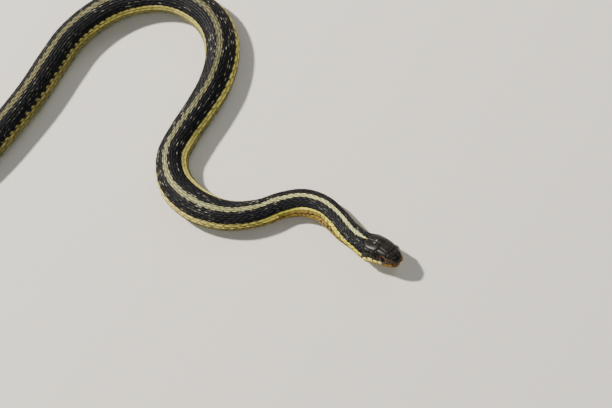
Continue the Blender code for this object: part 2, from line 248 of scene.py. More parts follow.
def surface(s, girth):
    """Places on the solids' surface in millimetres, for arrays of distance and angle."""
    given, girth = np.broadcast_arrays(np.asarray(s, float), np.asarray(girth, float))
    s = np.maximum(given, 0.0)
    turned = girth - spline(TWIST_AT, TWIST, s)
    section = np.where((s < HEAD_END)[..., None], head_outline(s, girth), body_outline(s, turned))
    cap = np.clip(1.0 + given / SNOUT_CAP, 0.0, 1.0)[..., None]
    section = SNOUT_MIDDLE + (section - SNOUT_MIDDLE) * cap
    reach = 0.6
    ahead, behind = np.where(s > reach, s - reach, 0.0), np.where(s > reach, s + reach, reach)
    along = one_long(midline(behind) - midline(ahead))
    right = np.stack([-along[..., 1], along[..., 0]], -1)
    middle = body_height(np.clip(s, ROLL_AXIS_FROM, TOTAL)) / 2
    roll = HEAD_ROLL * (1 - smooth_step(s, *ROLL_ENDS))
    lift = spline(LIFT_AT, LIFT, s)
    u, w = section[..., 0], section[..., 1] - middle
    side = u * np.cos(roll) - w * np.sin(roll)
    up = middle + w * np.cos(roll) + u * np.sin(roll) + lift
    return np.concatenate([midline(s) + side[..., None] * right, up[..., None]], -1)


def outward(s, girth):
    """Unit directions straight out of the surface."""
    s, girth = np.broadcast_arrays(np.asarray(s, float), np.asarray(girth, float))
    s = np.maximum(s, 0.03 - SNOUT_CAP)
    ahead, behind = np.maximum(s - 0.15, -SNOUT_CAP), np.minimum(s + 0.15, TOTAL)
    back = surface(behind, girth) - surface(ahead, girth)
    around = surface(s, girth + 2.0) - surface(s, girth - 2.0)
    return one_long(np.cross(back, around))


def raised(s, girth, rise):
    return surface(s, girth) + outward(s, girth) * np.asarray(rise, float)[..., None]


def bake_place(s, girth, strip_at=None):
    """Where a place on the skin lies on its unwrap, whose strips lie one above another."""
    strip_at = s if strip_at is None else strip_at
    strip = np.clip(np.floor(strip_at * BAKE_STRIPS / (TOTAL + 1.0)), 0, BAKE_STRIPS - 1)
    u = s * BAKE_STRIPS / (TOTAL + 1.0) - strip
    v = (strip + 0.04 + 0.92 * (girth + 180.0) / 360.0) / BAKE_STRIPS
    return np.stack([0.01 + 0.98 * u, v], -1)


def new_thing(name, data):
    thing = bpy.data.objects.new(name, data)
    bpy.context.scene.collection.objects.link(thing)
    return thing


def new_mesh(name, points, faces, finish=None, smooth=True):
    """An object from points in millimetres and their faces."""
    mesh = bpy.data.meshes.new(name)
    mesh.from_pydata((np.asarray(points) * MM).tolist(), [], faces)
    mesh.polygons.foreach_set("use_smooth", [smooth] * len(mesh.polygons))
    mesh.update()
    if finish:
        mesh.materials.append(finish)
    return new_thing(name, mesh)


def note(mesh, name, values, kind="FLOAT_VECTOR"):
    """Writes an attribute of a mesh's points."""
    slot = mesh.attributes.new(name, kind, "POINT")
    slot.data.foreach_set("vector" if kind == "FLOAT_VECTOR" else "value",
                          np.asarray(values, np.float32).ravel())


def noted(mesh, name):
    """Reads it back."""
    data = mesh.attributes[name].data
    values = np.empty(len(data) * 3, np.float32)
    data.foreach_get("vector", values)
    return values.reshape(-1, 3)


def corner_points(mesh):
    """The point at each corner of each face."""
    index = np.empty(len(mesh.loops), np.int32)
    mesh.loops.foreach_get("vertex_index", index)
    return index


def write_map(mesh, name, values):
    layer = mesh.uv_layers.new(name=name)
    layer.data.foreach_set("uv", np.asarray(values, np.float32).ravel())


# Materials

class Wire:
    """A socket that takes arithmetic, in shaders and in geometry trees."""

    def __init__(self, tree, socket):
        self.tree, self.socket = tree, socket

    def node(self, kind, sockets=(), output=0, **settings):
        made = self.tree.nodes.new(kind)
        for key, value in settings.items():
            setattr(made, key, value)
        for key, value in dict(sockets).items():
            put(self.tree, made.inputs[key], value)
        return Wire(self.tree, made.outputs[output])

    def math(self, operation, *values, clamp=False):
        return self.node("ShaderNodeMath", dict(enumerate((self, *values))), operation=operation,
                         use_clamp=clamp)

    def __add__(self, other): return self.math("ADD", other)
    def __sub__(self, other): return self.math("SUBTRACT", other)
    def __rsub__(self, other): return (self * -1.0) + other
    def __mul__(self, other): return self.math("MULTIPLY", other)
    def __truediv__(self, other): return self.math("DIVIDE", other)
    def __abs__(self): return self.math("ABSOLUTE")
    __radd__, __rmul__ = __add__, __mul__

    def step(self, low, high):
        """0 below low and 1 above high, eased between; the other way round if low is above high."""
        if low > high:
            return 1.0 - self.step(high, low)
        return self.node("ShaderNodeMapRange", {0: self, 1: low, 2: high, 3: 0.0, 4: 1.0},
                         interpolation_type="SMOOTHSTEP")

    def near(self, centre, width, soft):
        """1 within width of centre and 0 beyond it, with a soft edge."""
        return abs(self - centre).step(width + soft, width - soft)

    def part(self, axis):
        return self.node("ShaderNodeSeparateXYZ", {0: self}, output=axis)

    def scaled(self, share):
        """This colour or direction times a number."""
        return self.node("ShaderNodeVectorMath", {0: self, "Scale": share}, operation="SCALE")

    def mix(self, other, share):
        """This colour where share is 0 and the other where it is 1."""
        return self.node("ShaderNodeMix", {0: share, 6: self, 7: other}, output=2, data_type="RGBA")


def put(tree, socket, value):
    """Links a wire to a socket, or sets the socket to a number, a name or a colour."""
    if isinstance(value, Wire):
        tree.links.new(value.socket, socket)
    elif isinstance(value, tuple) and len(value) == 3 and len(socket.default_value) == 4:
        socket.default_value = (*value, 1.0)
    else:
        socket.default_value = value


def finish_named(name, *attributes):
    """An empty material, the wire that starts its tree, and attributes of the mesh it lies on."""
    made = bpy.data.materials.new(name)
    made.use_nodes = True
    start = Wire(made.node_tree, made.node_tree.nodes["Principled BSDF"].outputs[0])
    read = [start.node("ShaderNodeAttribute", output=1, attribute_name=each) for each in attributes]
    return made, start, *read


def finished(made, start, colour, roughness, shine, relief=None):
    """The material with its looks set; a relief is a height, its strength and its depth in metres."""
    looks = {"Base Color": colour, "Roughness": roughness, "Specular IOR Level": shine}
    if relief:
        looks["Normal"] = start.node("ShaderNodeBump",
                                     dict(zip(("Height", "Strength", "Distance"), relief)))
    for name, value in looks.items():
        put(start.tree, start.tree.nodes["Principled BSDF"].inputs[name], value)
    return made


def noise(start, scale, detail=3.0, roughness=0.55, at=None):
    at = at or start.node("ShaderNodeTexCoord", output=3)
    return start.node("ShaderNodeTexNoise", {"Vector": at, "Scale": scale, "Detail": detail,
                                             "Roughness": roughness}, output=0)


def tint(start, colour):
    """A colour as the start of a chain of mixes."""
    return start.node("ShaderNodeMix", {0: 0.0, 6: colour, 7: colour}, output=2, data_type="RGBA")


# Colours, linear, as the photo's light shows them
NIGHT = (0.0028, 0.0028, 0.0036)
SLATE = (0.0085, 0.0083, 0.0105)
# The stripes' colours from tail to neck: partly their own tone and partly painted light, brighter where
# more light falls
BACK_STRIPE_REAR = (0.175, 0.160, 0.066)
BACK_STRIPE = (0.195, 0.182, 0.088)
BACK_STRIPE_FORE = (0.37, 0.36, 0.165)
BACK_STRIPE_NECK = (0.80, 0.79, 0.33)
SIDE_STRIPE_REAR = (0.27, 0.24, 0.072)
SIDE_STRIPE = (0.56, 0.50, 0.125)
SIDE_STRIPE_NECK = (0.93, 0.83, 0.10)
# Painted light: the flank stripe's fore part brightened as if lit by light thrown back from the floor
SIDE_STRIPE_FORE_BOUNCE_LIT = (0.84, 0.72, 0.19)
# The lowest flank row: its own olive tone darkened further as painted shade
LOW_FLANK_OLIVE_AND_SHADE = (0.20, 0.175, 0.052)
LOW_FLANK_NECK_AND_SHADE = (0.27, 0.175, 0.030)
# Painted shade: the belly's sides painted dark olive
BELLY_SIDE_SHADE = (0.13, 0.125, 0.055)
BELLY = (0.30, 0.33, 0.19)
BELLY_LIGHT = (0.42, 0.43, 0.28)
BELLY_EDGE = (0.030, 0.030, 0.026)
THROAT = (0.50, 0.45, 0.22)
THROAT_SIDE = (0.40, 0.30, 0.07)
# The throat's sides: brown mottling of their own, darkened further as painted shade
THROAT_BROWN_AND_SHADE = (0.17, 0.105, 0.018)
THROAT_SPOT = (0.035, 0.020, 0.008)
FLECK = (0.64, 0.61, 0.43)
# Painted highlight on the neck's keels
KEEL_HIGHLIGHT = (0.040, 0.040, 0.048)
FLANK_SPOT = (0.030, 0.020, 0.010)
CROWN = (0.012, 0.0095, 0.0068)
CROWN_LIGHT = (0.036, 0.029, 0.022)
CROWN_EDGE = (0.0045, 0.004, 0.0038)
CROWN_SPOT = (0.34, 0.32, 0.235)
# Painted highlight: a pale glint along the ridge from the eye to the nostril
CANTHUS_GLINT = (0.20, 0.17, 0.13)
FACE = (0.090, 0.058, 0.022)
SNOUT = (0.125, 0.060, 0.018)
LIP = (0.95, 0.80, 0.15)
LIP_FORE = (0.34, 0.185, 0.022)
LIP_TIP = (0.27, 0.085, 0.014)
LIP_SEAM = (0.012, 0.011, 0.008)
CHIN = (0.46, 0.43, 0.26)
# Painted shade on the chin's sides below the lip
CHIN_SIDE_SHADE = (0.24, 0.175, 0.055)
CHIN_TIP = (0.135, 0.075, 0.022)
EYE_RIM_FORE = (0.46, 0.38, 0.22)
EYE_RIM_TOP = (0.26, 0.15, 0.075)
EYE_RIM_REAR = (0.13, 0.012, 0.004)
IRIS = (0.010, 0.0035, 0.002)
IRIS_STREAK = (0.044, 0.012, 0.0045)
IRIS_RING = (0.085, 0.036, 0.010)
PUPIL = (0.002, 0.002, 0.003)
EYE_BACK = (0.004, 0.003, 0.003)

# The stripes' edges in degrees from the mid-back, how far they shift, and where along the animal
BACK_STRIPE_EDGE = 9.4
SIDE_STRIPE_EDGES = (66.8, 90.6)
SIDE_STRIPE_LOWERED = 5.6
SIDE_STRIPE_RAISED = 5.0
SIDE_STRIPE_RAISED_NEAR = (84.0, 14.0, 9.0)
NECK_STRIPE_RAISED = 11.5
NECK_STRIPE_RAISED_NEAR = (50.0, 11.0, 4.0)


def markings(start, place, row_angle, soft=0.6):
    """The animal's colour at a place: stripes along the back and flanks over a dark ground."""
    s = place.part(0)
    ragged = (noise(start, 620.0, 2.0) - 0.5) * 9.0 * abs(row_angle).step(40.0, 20.0)
    g = abs(row_angle) + ragged + (noise(start, 150.0, 1.0) - 0.5) * 1.6
    ground = tint(start, NIGHT).mix(SLATE, noise(start, 260.0).step(0.35, 0.75))
    # The stripes brighten towards the neck and darken towards the tail, partly in their own tone and
    # partly as painted light
    stripe = tint(start, BACK_STRIPE_NECK).mix(BACK_STRIPE_FORE, s.step(40.0, 80.0))
    stripe = stripe.mix(BACK_STRIPE, s.step(105.0, 150.0)).mix(BACK_STRIPE_REAR, s.step(200.0, 285.0))
    # On the fore body the flank stripe is brightened as painted bounce light
    flank = tint(start, SIDE_STRIPE_NECK).mix(SIDE_STRIPE_FORE_BOUNCE_LIT, s.step(50.0, 80.0))
    flank = flank.mix(SIDE_STRIPE, s.step(118.0, 140.0)).mix(SIDE_STRIPE_REAR, s.step(220.0, 270.0))
    # The lowest flank row, darkened partly as painted shade
    low = tint(start, LOW_FLANK_NECK_AND_SHADE).mix(LOW_FLANK_OLIVE_AND_SHADE, s.step(55.0, 95.0))
    half = BACK_STRIPE_EDGE * s.step(16.0, 23.0)
    colour = ground.mix(stripe, (half - g).step(-soft, soft))
    top, foot = SIDE_STRIPE_EDGES
    raised_top = SIDE_STRIPE_RAISED * s.near(*SIDE_STRIPE_RAISED_NEAR)
    moved = g - SIDE_STRIPE_LOWERED * s.step(215.0, 265.0) + raised_top
    colour = colour.mix(flank, moved.step(top - soft, top + soft))
    moved = g + NECK_STRIPE_RAISED * s.near(*NECK_STRIPE_RAISED_NEAR)
    colour = colour.mix(low, moved.step(foot - soft, foot + soft))
    # Below the flanks the belly's sides are painted dark as shade
    return colour.mix(BELLY_SIDE_SHADE, g.step(104.0, 110.0)), g


def scale_finish():
    """Scales coloured row by row, so that a stripe's edge is scalloped as the rows are."""
    made, start, place, leaf, root = finish_named("scale", "place", "leaf", "root")
    s, chance, row, stretched = place.part(0), place.part(2), root.part(1), root.part(2)
    along, across = leaf.part(0), abs(leaf.part(1))
    low = abs(row).step(30.0, 50.0)
    calm = s.near(*SIDE_STRIPE_RAISED_NEAR) * abs(row).step(40.0, 50.0)
    saw = (along - 0.65) * (5.0 + 8.0 * low) * (1.0 - 0.85 * calm)
    outer = row.step(-0.5, 0.5) * 2.0 - 1.0
    girth = row + (place.part(1) - row) * (1.0 - 0.72 * low)
    colour, g = markings(start, place, girth + saw * outer)
    # Skin shows as pale flecks beside some scales, and beside more of them where a bend is stretched
    other = (chance * 7.31).math("FRACT")
    luck = chance + (other - chance) * leaf.part(1).step(-0.01, 0.01)
    shown = luck.step(0.68, 0.86) * noise(start, 75.0, 2.0).step(0.42, 0.62)
    more = (luck - 0.17 * s.step(135.0, 160.0)).step(0.48, 0.62)
    shown = shown.math("MAXIMUM", stretched.step(1.04, 1.20) * s.step(75.0, 95.0) * more)
    shown = shown * (1.0 - 0.55 * s.step(225.0, 260.0))
    edge = across.step(0.22, 0.36) * along.near(0.40, 0.13, 0.09)
    colour = colour.mix(FLECK, edge * shown * g.near(38.0, 27.0, 2.0) * 0.95)
    # Scales darken towards their tip and sides, and pale ones also have a dark outline and smudges
    shade = 1.0 - 0.7 * along.step(0.72, 1.0) * across.step(0.02, 0.26)
    shade = shade * (1.0 - 0.6 * across.step(0.30, 0.45) * along.step(0.25, 0.5))
    pale = g.near(0.0, 12.0, 2.0).math("MAXIMUM", g.step(64.0, 68.0))
    # The outline's crosswise band, just behind the tip of the scale in front, is partly dark skin and
    # partly painted shadow
    outline = across.step(0.26, 0.42).math("MAXIMUM", along.step(0.46, 0.30))
    smudge = noise(start, 900.0, 2.0).step(0.50, 0.66)
    shade = shade * (1.0 - pale * (0.60 * outline + 0.30 * smudge * (1.0 - outline)))
    # The neck has painted highlights on its keels, and dark spots low on its flanks
    neck = s.step(125.0, 60.0)
    keel = along.near(0.66, 0.14, 0.10) * across.step(0.20, 0.05) * g.near(38.0, 29.0, 1.0)
    colour = colour.mix(KEEL_HIGHLIGHT, keel * neck * 0.7)
    spotted = neck * g.near(97.0, 17.0, 3.0) * luck.step(0.55, 0.62) * along.step(0.75, 0.55)
    colour = colour.mix(FLANK_SPOT, spotted * 0.85)
    grain = 0.76 + 0.48 * noise(start, 2600.0, 2.0)
    colour = colour.scaled(shade * grain * (0.82 + 0.36 * other))
    return finished(made, start, colour, 0.44 + 0.20 * noise(start, 900.0), 0.12,
                    (noise(start, 5200.0, 2.0), 0.25, 0.00004))


def skin_finish():
    """The skin under the scales: flecked as they are, and dark between the plates of the head."""
    made, start, place = finish_named("skin", "place")
    s = place.part(0)
    colour, g = markings(start, place, place.part(1), 2.0)
    fleck = noise(start, 700.0, 1.0).step(0.40, 0.60) * g.near(38.0, 30.0, 1.5)
    colour = colour.mix(FLECK, fleck * s.step(17.0, 22.0) * 0.9)
    colour = colour.mix(CROWN_EDGE, s.step(18.6, 17.4) * g.step(141.0, 134.0))
    return finished(made, start, colour, 0.62, 0.25)


def belly_finish():
    """Pale green scutes with dark front corners, and a yellow throat that browns towards its sides,
    partly as painted shade.
    """
    made, start, place, leaf = finish_named("belly_scute", "place", "leaf")
    s, side = place.part(0), abs(place.part(1) - 180.0)
    colour = tint(start, BELLY).mix(BELLY_LIGHT, noise(start, 300.0).step(0.3, 0.7))
    # The scutes' sides darken as painted shade
    colour = colour.mix(BELLY_SIDE_SHADE, side.step(45.0, 72.0))
    colour = colour.mix(BELLY_EDGE, leaf.part(0).step(0.35, 0.12) * side.near(58.0, 8.0, 4.0))
    throat = tint(start, THROAT).mix(THROAT_SIDE, side.step(30.0, 55.0))
    # The throat's sides brown in patches, partly own mottling and partly painted shade
    brown = side.step(46.0, 60.0) * s.step(26.0, 42.0)
    throat = throat.mix(THROAT_BROWN_AND_SHADE, brown * noise(start, 500.0, 2.0).step(0.30, 0.52))
    colour = colour.mix(throat, s.step(95.0, 60.0))
    spots = noise(start, 380.0, 1.0).step(0.56, 0.64) * side.near(64.0, 9.0, 4.0)
    colour = colour.mix(THROAT_SPOT, spots * s.step(28.0, 40.0) * 0.85)
    colour = colour.scaled(0.84 + 0.32 * noise(start, 1800.0, 3.0))
    return finished(made, start, colour, 0.36 + 0.18 * noise(start, 800.0), 0.25)


def plate_finish():
    """The head: olive-black crown, pale spots on the parietals, yellow lips with dark seams."""
    made, start, place, leaf = finish_named("head_plate", "place", "leaf")
    s, girth, rim = place.part(0), abs(place.part(1)), leaf.part(0)
    mottle = noise(start, 420.0, 5.0, 0.6)
    crown = tint(start, CROWN).mix(CROWN_LIGHT, mottle.step(0.44, 0.76))
    crown = crown.mix(CROWN_EDGE, rim.step(0.22, 0.02) * 0.85)
    off, side = s - 13.6, (girth - 5.2) * 0.085
    crown = crown.mix(CROWN_SPOT, (off * off * 0.8 + side * side * 1.6).step(0.10, 0.03))
    face = s.step(7.4, 6.2) * girth.near(58.0, 15.0, 3.0) * mottle.step(0.25, 0.55)
    snout = s.step(1.15, 0.8)
    crown = crown.mix(FACE, face * 0.9 * (1.0 - snout)).mix(SNOUT, snout * girth.step(22.0, 70.0))
    # A painted highlight along the ridge in front of the eye, broken up by noise
    glint_breakup = noise(start, 900.0, 2.0).step(0.40, 0.60)
    crown = crown.mix(CANTHUS_GLINT, girth.near(44.5, 1.4, 1.2) * s.near(4.0, 2.2, 0.8) * glint_breakup * 0.8)
    lip = tint(start, LIP_FORE).mix(LIP, s.step(6.6, 9.8)).mix(LIP_TIP, s.step(4.2, 1.2) * 0.8)
    seam = leaf.part(1).step(0.74, 0.90) * girth.step(99.0, 92.0)
    seam = seam.math("MAXIMUM", girth.step(75.5, 72.5) * s.step(9.0, 6.0))
    # The chin is painted darker towards the lip as shade
    chin = tint(start, CHIN).mix(CHIN_SIDE_SHADE, girth.step(146.0, 122.0))
    chin = chin.mix(CHIN_TIP, s.step(3.4, 1.0) * girth.step(186.0, 162.0))
    lip = lip.mix(LIP_SEAM, seam).mix(chin, girth.step(108.0, 118.0))
    colour = crown.mix(lip, leaf.part(2).step(0.1, 0.9))
    # The plates' edges round the eye: pale in front of it, brown above, and rusty above and behind
    behind, below = s - EYE_AT, (girth - float(row_girth(EYE_ROW))) * 0.073
    ring = (behind * behind + below * below).math("SQRT")
    front = (behind + below * 0.2).step(-0.75, -1.0) * below.near(0.25, 0.75, 0.25)
    colour = colour.mix(EYE_RIM_FORE, ring.near(1.50, 0.14, 0.10) * front * 0.9)
    brow = ring.near(1.48, 0.13, 0.12) * below.step(-0.45, -0.85)
    colour = colour.mix(EYE_RIM_TOP, brow * behind.step(0.55, 0.05) * 0.8)
    rear = below.step(-0.30, -0.60) * behind.near(1.15, 0.45, 0.2)
    colour = colour.mix(EYE_RIM_REAR, ring.near(1.62, 0.26, 0.14) * rear)
    colour = colour.scaled(0.80 + 0.40 * noise(start, 2800.0, 2.0))
    return finished(made, start, colour, 0.25 + 0.24 * mottle, 0.20, (mottle, 0.35, 0.00010))


def eye_finish():
    """A round black pupil in a dark brown iris, by angle round and away from the eye's axis."""
    made, start = finish_named("eye")
    gaze = start.node("ShaderNodeUVMap", uv_map="gaze")
    away = gaze.part(1)
    streak = noise(start, 1.0, 3.0, at=gaze.node("ShaderNodeMapping", {0: gaze, 3: (26.0, 3.0, 1.0)}))
    colour = tint(start, IRIS).mix(IRIS_STREAK, streak.step(0.35, 0.7))
    colour = colour.mix(IRIS_RING, away.near(0.140, 0.004, 0.005) * 0.6)
    colour = colour.mix(PUPIL, away.step(0.140, 0.133)).mix(EYE_BACK, away.step(0.205, 0.235))
    return finished(made, start, colour, 0.05, 0.45)


def plain_finish(name, colour, roughness):
    return finished(*finish_named(name), colour, roughness, 0.5)


# The skin

def eye_seat(side):
    """Centre of an eyeball and the direction it looks in."""
    girth = side * row_girth(EYE_ROW)
    out = outward(EYE_AT, girth)
    return surface(EYE_AT, girth) - out * EYE_SUNK, out


def coat_depth(s):
    """How thick the coat is: thinner on the thin end of the tail."""
    return COAT_DEPTH * np.minimum(1.0, body_half(s) / COAT_THINS_BELOW)


def unwrapped(girth, face_of, count):
    """Angles at the corners of faces, so that no face lies across the ends of the turn."""
    low, high = np.full(count, 999.0), np.full(count, -999.0)
    np.minimum.at(low, face_of, girth)
    np.maximum.at(high, face_of, girth)
    split = (high - low > 180.0)[face_of] & (girth < (low + 90.0)[face_of])
    return np.where(split, girth + 360.0, girth)


def build_skin():
    """The skin from snout to tail tip, a coat's depth under the solids' surface, with eye hollows."""
    stations = np.r_[-0.4, -0.3, -0.15, 0.0, 0.06, 0.14, 0.24, 0.36, 0.5, np.arange(0.7, 24.0, 0.2),
                     np.arange(24.0, 600.0, 1.0), np.arange(600.0, TOTAL, 0.7), TOTAL]
    sides = 96
    s, g = np.meshgrid(stations, -180.0 + np.arange(sides) * 360.0 / sides, indexing="ij")
    out = outward(s, g)
    points = surface(s, g) - out * coat_depth(s)[..., None]
    for side in (1, -1):
        centre, look = eye_seat(side)
        gap = points - centre
        deep = gap @ look
        across = np.linalg.norm(gap - deep[..., None] * look, axis=-1)
        sunk = (1 - smooth_step(across, *EYE_HOLLOW)) * (deep > 0) * EYE_HOLLOW_DEPTH
        points -= look * sunk[..., None]
    total = len(stations) * sides
    points = points.reshape(-1, 3)
    points = np.vstack([points, points[:sides].mean(0), points[-sides:].mean(0)])
    faces = []
    for i in range(0, total - sides, sides):
        for j in range(sides):
            k = (j + 1) % sides
            faces.append((i + j, i + sides + j, i + sides + k, i + k))
    for j in range(sides):
        k = (j + 1) % sides
        faces.append((total, j, k))
        faces.append((total + 1, total - sides + k, total - sides + j))
    skin = new_mesh("skin", points, faces, skin_finish())
    mesh = skin.data
    s, g = np.r_[s.ravel(), 0.0, TOTAL], np.r_[g.ravel(), 0.0, 0.0]
    note(mesh, "place", np.stack([s, g, np.full_like(s, 0.5)], 1))
    note(mesh, "outward", np.vstack([out.reshape(-1, 3), [(0, 0, 1)], [(0, 0, 1)]]))
    corners = corner_points(mesh)
    s, g = s[corners], g[corners]
    count = len(faces)
    face_of = np.repeat(np.arange(count), [len(face) for face in faces])
    back = unwrapped(g, face_of, count)
    belly = unwrapped(np.where(g < -0.01, g + 360.0, g), face_of, count)
    write_map(mesh, BACK_MAP[0], np.stack([s / TOTAL, (back + 180.0) / 360.0], 1))
    write_map(mesh, BELLY_MAP[0], np.stack([s / TOTAL, belly / 360.0], 1))
    first = np.full(count, TOTAL)
    np.minimum.at(first, face_of, s)
    write_map(mesh, "OFBake", bake_place(s, back, first[face_of]))
    return skin


# The coat

def row_count(s):
    """How many rows of scales there are over the back and flanks, an odd number."""
    if s < VENT:
        return SIDE_ROWS if s < ROWS_CHANGE else REAR_ROWS
    return max(5, int(round(11 - 7 * (s - VENT) / (TOTAL - VENT))) | 1)


def row_angles(rows):
    """Middle and width in degrees of each row of scales, wider towards the belly."""
    away = np.abs(np.arange(rows) - (rows - 1) / 2) / ((rows - 1) / 2)
    widths = 1 + LOW_ROW_WIDER * away ** 2
    widths *= 2 * ROWS_REACH / widths.sum()
    edges = -ROWS_REACH + np.r_[0, np.cumsum(widths)]
    return (edges[1:] + edges[:-1]) / 2, widths


def scale_pitch(s):
    """Millimetres of midline from one scale to the next in its row."""
    return float(np.interp(s, [16, 30, 60, 110, 440, 476, 520, 600, 626],
                           [1.7, 2.1, 2.6, 3.1, 3.1, 2.6, 2.2, 1.6, 1.2]))


def coat_start(girth):
    """How far back the coat begins, behind the plates of the head."""
    return np.interp(abs(girth), [0, 12, 30, 50, 75, 100, 110],
                     [16.9, 16.7, 15.6, 15.6, 16.0, 16.6, 16.8])


def stretch(s, girth, half=0.3):
    """Millimetres of surface for each millimetre of midline: more on the outside of a bend."""
    return np.linalg.norm(surface(s + half, girth) - surface(s - half, girth), axis=-1) / (2 * half)


def coat_points(low, high):
    """Root places, sizes, random numbers and stretch of the scales between two distances."""
    rng = np.random.default_rng(7 + int(low))
    found = []
    s = COAT_FROM
    while s < TOTAL - 2.0:
        pitch = scale_pitch(s)
        if low <= s < high:
            rows = row_count(s)
            for j, (middle, width) in enumerate(zip(*row_angles(rows))):
                at = s + pitch * (0.5 if (j + (rows - 1) // 2) % 2 else 0.0)
                if coat_start(middle) <= at <= TOTAL - 1.5:
                    found.append((at, middle, pitch, width, rng.random()))
        s += pitch
    at, girth, pitch, width, chance = np.array(found).T
    stretched = np.clip(stretch(at, girth), 0.72, 1.5)
    length = SCALE_OVERLAP * pitch / stretched ** 0.75 * (1 + 0.08 * (chance - 0.5))
    size = np.stack([length, width * SCALE_WIDER, coat_depth(at)], 1)
    return np.stack([at - 0.1 * pitch, girth, np.zeros_like(at)], 1), size, chance, stretched


def unit_scale():
    """One scale, root at 0 and tip at 1 lengthways, one wide, one high at its free end, with a keel."""
    halves = {0.0: 0.30, 0.2: 0.44, 0.42: 0.50, 0.64: 0.46, 0.84: 0.31, 1.0: 0.07}
    across = (-1.0, -0.55, 0.0, 0.55, 1.0)
    top = []
    for x, half in halves.items():
        for t in across:
            dome = (0.05 + 0.72 * x ** 0.8) * (1 - 0.38 * t * t)
            keel = 0.27 * math.sin(math.pi * min(1.0, x * 1.05)) if t == 0.0 else 0.0
            top.append((x, half * t, dome + keel))
    return unit_shield("unit_scale", top, len(across))


def unit_scute():
    """One belly scute: a broad band, one long and one wide, its rear edge free."""
    count = 13
    top = []
    for x in (0.0, 0.35, 0.75, 0.95, 1.0):
        for t in (-0.5 + i / (count - 1) for i in range(count)):
            bow = 0.10 * (1 - (2 * t) ** 2)
            lift = (0.10 + 0.90 * x) * (1.0 if x < 1.0 else 0.8) * (1 - 0.15 * (2 * t) ** 6)
            top.append((x + bow * x, t, lift))
    return unit_shield("unit_scute", top, count)


def unit_shield(name, top, count):
    """A small closed shape under a smooth top, which is given in rows of count points."""
    rows, base = len(top) // count, len(top)
    rim = [*range(count), *(count * i + count - 1 for i in range(1, rows)),
           *(base - count + j for j in range(count - 2, -1, -1)),
           *(count * i for i in range(rows - 2, 0, -1))]
    points = np.array(top + [(*top[i][:2], SHIELD_BOTTOM) for i in rim])
    faces = [(count * i + j, count * i + count + j, count * i + count + j + 1, count * i + j + 1)
             for i in range(rows - 1) for j in range(count - 1)]
    tops, around = len(faces), len(rim)
    for k in range(around):
        following = (k + 1) % around
        faces.append((rim[k], rim[following], base + following, base + k))
    faces.append(tuple(range(base, base + around)))
    shield = new_mesh(name, points / MM, faces)
    shield.data.polygons.foreach_set("use_smooth", [i < tops for i in range(len(faces))])
    note(shield.data, "leaf", points)
    return shield


def coat_tree():
    """Lays a unit scale on every lattice point and wraps the result over the skin.

    A lattice point stands at (distance in mm, angle in degrees, 0). The skin's map turns that into
    a place on the skin, and the height of the scale is measured along the skin's outward direction.
    """
    tree = bpy.data.node_groups.new("coat", "GeometryNodeTree")
    for name, kind in (("Lattice", "NodeSocketGeometry"), ("Skin", "NodeSocketObject"),
                       ("Unit", "NodeSocketObject"), ("Map", "NodeSocketString"),
                       ("Length of animal", "NodeSocketFloat"),
                       ("Angle at map edge", "NodeSocketFloat"), ("Finish", "NodeSocketMaterial")):
        tree.interface.new_socket(name, in_out="INPUT", socket_type=kind)
    tree.interface.new_socket("Coat", in_out="OUTPUT", socket_type="NodeSocketGeometry")
    given = tree.nodes.new("NodeGroupInput")
    ask = {s.name: Wire(tree, s) for s in given.outputs if s.name}
    start = ask["Lattice"]

    def named(name, kind="FLOAT_VECTOR"):
        return start.node("GeometryNodeInputNamedAttribute", {0: name}, data_type=kind)

    skin, shield = (start.node("GeometryNodeObjectInfo", {0: ask[name]}, output="Geometry")
                    for name in ("Skin", "Unit"))
    laid = start.node("GeometryNodeInstanceOnPoints",
                      {"Points": start, "Instance": shield, "Scale": named("size")})
    whole = start.node("GeometryNodeRealizeInstances", {0: laid})
    at = start.node("GeometryNodeInputPosition")
    chance = named("chance", "FLOAT")
    place = start.node("ShaderNodeCombineXYZ", {0: at.part(0), 1: at.part(1), 2: chance})
    kept = start.node("GeometryNodeStoreNamedAttribute",
                      {"Geometry": whole, "Name": "place", "Value": place},
                      data_type="FLOAT_VECTOR", domain="POINT")
    spot = start.node("ShaderNodeCombineXYZ", {
        0: (at.part(0) / ask["Length of animal"]).math("MINIMUM", MAP_END),
        1: (at.part(1) - ask["Angle at map edge"]) / 360.0})
    chart = named(ask["Map"])
    foot, up = (start.node("GeometryNodeSampleUVSurface",
                           {"Mesh": skin, "Value": value, "Source UV Map": chart, "Sample UV": spot},
                           data_type="FLOAT_VECTOR") for value in (at, named("outward")))
    spot = start.node("ShaderNodeVectorMath", {0: foot, 1: up.scaled(at.part(2) * MM)}, operation="ADD")
    moved = start.node("GeometryNodeSetPosition", {"Geometry": kept, "Position": spot})
    done = start.node("GeometryNodeSetMaterial", {"Geometry": moved, "Material": ask["Finish"]})
    end = tree.nodes.new("NodeGroupOutput")
    tree.links.new(done.socket, end.inputs[0])
    return tree


